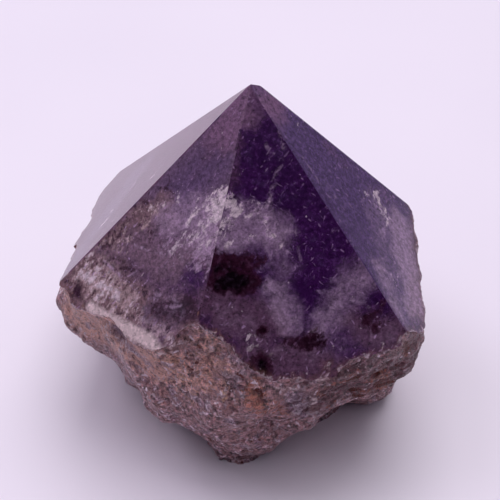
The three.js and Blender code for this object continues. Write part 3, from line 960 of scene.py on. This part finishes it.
def weathered_quartz(colours):
    """The natural skin of the crystal: cloudy grey-mauve quartz with a tan film, iron stains in its hollows
    and bruised white rims."""
    material = new_material("weathered quartz")
    tree = material.node_tree
    here = add_node(tree, "ShaderNodeTexCoord").outputs["Object"]
    place = add_node(tree, VECTOR_MATH, {0: here, "Scale": 1 / MM}, operation="SCALE")
    drifting = wandering(tree, wandering(tree, place, size=6, amount=2), size=1.8, amount=0.8)
    ragged = wandering(tree, place, size=1.2, amount=0.35)
    streaked = stretched(tree, ragged, DOWNHILL, 3)
    leaning = stretched(tree, ragged, UPRIGHT, 2.4)
    proud = add_node(tree, "ShaderNodeAttribute", attribute_name="proud").outputs["Fac"]

    # Cloudy quartz under a patchy tan film, streaked along the smooth natural face
    slow = cloud(tree, drifting, 5)
    blotches = cloud(tree, drifting, 2.6)
    fine = cloud(tree, ragged, 1.2, detail=3, roughness=0.78)
    streaks = cloud(tree, streaked, 1.6, roughness=0.7)
    film = spread(tree, drifting, FILMY)
    crust = spread(tree, drifting, CRUSTY)
    colour = lay(tree, colours.skin, colours.clay, broken(tree, film, slow, ragged=0.6, dense=1))
    colour = lay(tree, colour, colours.film, streaks, 0.6, levels=(0.6, 1), within=film)
    colour = scatter(tree, colour, drifting, streaks, ((COOL, colours.ash, 0.8, 1.2, 1),))
    reached = add_node(tree, MAP_RANGE, {"Value": film, "From Max": 0.6}, **SMOOTH)
    colour = lay(tree, colour, colours.shade, streaks, 0.7, levels=(0.5, 0.1), within=reached)
    colour = lay(tree, colour, colours.shade, blotches, 0.75, levels=(0.45, 0))
    colour = lay(tree, colour, colours.ash, blotches, 0.8, levels=(0.5, 0.85))

    # Grain from a tenth of a millimetre to two: dark pores, pale bits, tan, red and white strokes
    colour = lay(tree, colour, colours.crevice, fine, 0.9, levels=(0.42, 0.16))
    colour = lay(tree, colour, colours.rim, fine, 0.85, levels=(0.6, 0.8))
    threads = strokes(tree, ragged, 2.4, width=0.08, rare=0.4)
    colour = lay(tree, colour, colours.film, threads, within=spread(tree, drifting, THREADED))
    for over, field, size, width, rare in (
        (colours.rim, leaning, 2.8, 0.07, 0.4),
        (colours.rust, drifting, 4, 0.05, 0.6),
        (colours.crevice, streaked, 1.8, 0.08, 0.5),
    ):
        colour = lay(tree, colour, over, strokes(tree, field, size, width, rare), 0.6)
    # Darker patches with painted shade over the right side, then iron stains
    colour = scatter(tree, colour, drifting, fine, (
        (SHADE_AND_DARK_PATCHES, colours.crevice, 1, 1.2, 0.75),
        (STAINS, colours.rust, 1.4, 1.1, 0.85),
    ))
    # Painted shade in the hollows of the relief and a painted highlight on its raised spots
    colour = lay(tree, colour, colours.crevice, proud, 0.7, levels=(-0.02, -0.16))
    colour = lay(tree, colour, colours.rim, proud, 0.3, levels=(0.06, 0.2))
    smoother = spread(tree, drifting, SMOOTHER)
    rougher = add_node(tree, MAP_RANGE, {"Value": smoother, "From Min": 0.9, "From Max": 0.1}, **SMOOTH)
    patches = cloud(tree, drifting, 3.4, detail=2)
    patches = add_node(tree, MAP_RANGE, {"Value": patches, "From Min": 0.1, "From Max": 0.6}, **SMOOTH)
    patchy = add_node(tree, MATH, [rougher, patches], operation="MINIMUM")
    grain = cloud(tree, ragged, 0.9, detail=2, roughness=0.75)
    depth = add_node(tree, MAP_RANGE, {"Value": grain, "To Min": 0.05, "To Max": 2.3})
    colour = add_node(
        tree, MIX, {"Factor": patchy, "A": colour, "B": depth}, data_type="RGBA", blend_type="MULTIPLY")

    # Painted glints, white specks where clean fracture flats would catch the light; bruises and burnt red pits
    slanting = stretched(tree, ragged, UPRIGHT, 3)
    across = stretched(tree, ragged, LEVEL, 3)
    for over, field, spacing, chance, radius, strength, within in (
        (colours.crevice, across, 1.5, 0.3, 0.3, 1, patchy),
        (colours.scorch, ragged, 1.7, 0.18, 0.42, 1, patchy),
        (colours.veil, slanting, 1.3, 0.6, 0.34, 1, crust),
        (colours.veil, slanting, 1.6, 0.3, 0.36, 0.85, None),
        (colours.veil, across, 1.8, 0.3, 0.36, 0.8, None),
    ):
        spots = specks(tree, field, spacing, chance, radius)
        colour = lay(tree, colour, over, spots, strength, within=within)
    # Dark folds, and white strokes painted as glints
    colour = scatter(tree, colour, ragged, fine, (
        (FOLDS, colours.scorch, 1.4, 1.2, 1),
        (GLINTS, colours.veil, 1.8, 1.3, 1),
    ))
    colour = scatter(tree, colour, drifting, fine, ((BRUISES, colours.blush, 1, 1.3, 1),))
    colour = scatter(tree, colour, ragged, fine, ((SCORCHES, colours.scorch, 1.6, 1.2, 1),))

    # Tooth from a quarter of a millimetre to one
    flats = add_node(tree, CELLS, {"Vector": ragged, "Scale": 1.2})
    tooth = cloud(tree, ragged, 0.8, roughness=0.72)
    height = add_node(tree, MATH, [flats, 0.5, tooth], operation="MULTIPLY_ADD")
    bump = add_node(tree, "ShaderNodeBump", {"Strength": 1, "Distance": 0.35 * MM, "Height": height})
    gloss = add_node(tree, MAP_RANGE, {"Value": fine, "To Min": 0.42, "To Max": 0.15})
    shader = add_node(
        tree, "ShaderNodeBsdfPrincipled",
        {"Base Color": colour, "Roughness": gloss, "Normal": bump, "IOR": QUARTZ_IOR})
    add_node(tree, "ShaderNodeOutputMaterial", {"Surface": shader})
    return material


def sawn_quartz(colours):
    """The underside, sawn flat: matt grey-mauve with fine saw lines."""
    material = new_material("sawn quartz")
    tree = material.node_tree
    here = add_node(tree, "ShaderNodeTexCoord").outputs["Object"]
    place = add_node(tree, VECTOR_MATH, {0: here, "Scale": 1 / MM}, operation="SCALE")
    colour = lay(tree, colours.skin, colours.smoke, cloud(tree, place, 7))
    lines = add_node(
        tree, "ShaderNodeTexWave", {"Vector": place, "Scale": 0.4, "Distortion": 0.6, "Detail": 2})
    bump = add_node(
        tree, "ShaderNodeBump", {"Strength": 0.4, "Distance": 0.05 * MM, "Height": lines.outputs["Fac"]})
    shader = add_node(
        tree, "ShaderNodeBsdfPrincipled",
        {"Base Color": colour, "Roughness": 0.6, "Normal": bump, "IOR": QUARTZ_IOR})
    add_node(tree, "ShaderNodeOutputMaterial", {"Surface": shader})
    return material


def pale_floor():
    """Smooth pale board with a faint unevenness in its tone."""
    material = new_material("pale board")
    tree = material.node_tree
    here = add_node(tree, "ShaderNodeTexCoord").outputs["Object"]
    colour = lay(tree, linear("e6e0ea"), linear("ede7f0"), cloud(tree, here, 0.17, detail=2))
    shader = add_node(tree, "ShaderNodeBsdfPrincipled", {"Base Color": colour, "Roughness": 0.55})
    add_node(tree, "ShaderNodeOutputMaterial", {"Surface": shader})
    return material


# Operators


class AMETHYST_OT_crystal(bpy.types.Operator):
    """Makes the crystal: the rough stone with its six ground faces"""

    bl_idname = "amethyst.crystal"
    bl_label = "Crystal"

    def execute(self, context):
        settings = context.scene.amethyst_crystal
        colours = context.scene.amethyst_colours
        faces = ground_faces(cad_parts[STONE].data)
        if len(faces) != len(FACETS):
            raise RuntimeError(f"found {len(faces)} ground faces on {STONE}, not {len(FACETS)}")
        ground = [polished_amethyst(colours), sawn_quartz(colours)]
        mesh = ground_crystal(faces, settings, weathered_quartz(colours), ground)
        mesh.name = "amethyst_crystal"
        crystal = bpy.data.objects.new("amethyst_crystal", mesh)
        context.collection.objects.link(crystal)
        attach(crystal, BODY)
        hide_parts(STONE)
        return {"FINISHED"}


class AMETHYST_OT_stage(bpy.types.Operator):
    """Makes the stage: a pale floor, soft studio light and the camera"""

    bl_idname = "amethyst.stage"
    bl_label = "Stage"

    def execute(self, context):
        settings = context.scene.amethyst_stage
        add_floor(context, settings)
        add_world(context)
        add_lights(context)
        add_camera(context, settings)
        context.scene.view_settings.view_transform = "Standard"
        return {"FINISHED"}


def add_floor(context, settings):
    """A flat floor at the stone's foot."""
    half = settings.floor_size / 2
    mesh = bpy.data.meshes.new("floor")
    corners = [(-half, -half, 0), (half, -half, 0), (half, half, 0), (-half, half, 0)]
    mesh.from_pydata(corners, [], [(0, 1, 2, 3)])
    mesh.materials.append(pale_floor())
    floor = bpy.data.objects.new("floor", mesh)
    context.collection.objects.link(floor)


def add_world(context):
    """Soft light from overhead, dimmer towards the horizon and dark in front, where the room is. The camera
    itself sees a plain pale wall."""
    world = bpy.data.worlds.new("soft room")
    world.use_nodes = True
    tree = world.node_tree
    tree.nodes.clear()
    direction = add_node(tree, "ShaderNodeTexCoord").outputs["Generated"]
    parts = add_node(tree, "ShaderNodeSeparateXYZ", [direction]).outputs
    colour = lay(tree, linear("77738c"), linear("f6f0fb"), parts["Z"], levels=(0.42, 0.85))
    colour = lay(tree, colour, linear("1c1824"), parts["Y"], levels=(-0.3, -0.75))
    camera_rays = add_node(tree, "ShaderNodeLightPath").outputs["Is Camera Ray"]
    colour = lay(tree, colour, linear("e6e0ee"), camera_rays)
    background = add_node(tree, "ShaderNodeBackground", {"Color": colour, "Strength": 0.75})
    add_node(tree, "ShaderNodeOutputWorld", {"Surface": background})
    context.scene.world = world


def add_lights(context):
    """A large softbox above and behind the stone, and a weak one from the left."""
    boxes = (
        ("overhead softbox", (0.1, 0.25, 0.8), 0.6, 4.0, "fdf8ff"),
        ("left softbox", (-0.5, 0.2, 0.75), 0.4, 2.0, "f6eeff"),
    )
    for name, place, size, power, tint in boxes:
        light = bpy.data.lights.new(name, "AREA")
        light.size = size
        light.energy = power
        light.color = linear(tint)
        lamp = bpy.data.objects.new(name, light)
        lamp.location = place
        lamp.rotation_euler = (-Vector(place)).to_track_quat("-Z", "Y").to_euler()
        context.collection.objects.link(lamp)


def add_camera(context, settings):
    """The camera, looking down at the stone from in front."""
    pitch = settings.camera_pitch
    camera = bpy.data.cameras.new("camera")
    camera.lens_unit = "FOV"
    camera.angle = settings.camera_field
    camera.clip_start = 0.01
    eye = bpy.data.objects.new("camera", camera)
    towards = Vector((0, math.cos(pitch), -math.sin(pitch)))
    eye.location = Vector(settings.camera_aim) - towards * settings.camera_distance
    eye.rotation_euler = (math.pi / 2 - pitch, 0, 0)
    context.collection.objects.link(eye)
    context.scene.camera = eye


class AMETHYST_PT_panel(bpy.types.Panel):
    """Lists the pieces and their settings"""

    bl_idname = "AMETHYST_PT_panel"
    bl_label = "Amethyst Point"
    bl_space_type = "VIEW_3D"
    bl_region_type = "UI"
    bl_category = "Amethyst"

    def draw(self, context):
        layout = self.layout
        for operator, groups in PIECES:
            layout.operator(operator.bl_idname)
            for group in groups:
                settings = getattr(context.scene, group)
                for name in settings.__annotations__:
                    layout.prop(settings, name)


PIECES = (
    (AMETHYST_OT_crystal, ("amethyst_crystal", "amethyst_colours")),
    (AMETHYST_OT_stage, ("amethyst_stage",)),
)
GROUPS = {
    "amethyst_crystal": CrystalSettings,
    "amethyst_colours": ColourSettings,
    "amethyst_stage": StageSettings,
}
CLASSES = (*GROUPS.values(), AMETHYST_OT_crystal, AMETHYST_OT_stage, AMETHYST_PT_panel)


def register():
    for cls in CLASSES:
        bpy.utils.register_class(cls)
    for name, group in GROUPS.items():
        setattr(bpy.types.Scene, name, bpy.props.PointerProperty(type=group))


def unregister():
    for name in GROUPS:
        delattr(bpy.types.Scene, name)
    for cls in reversed(CLASSES):
        bpy.utils.unregister_class(cls)


def main():
    register()
    bpy.ops.amethyst.crystal()
    bpy.ops.amethyst.stage()


if __name__ == "__main__":
    main()
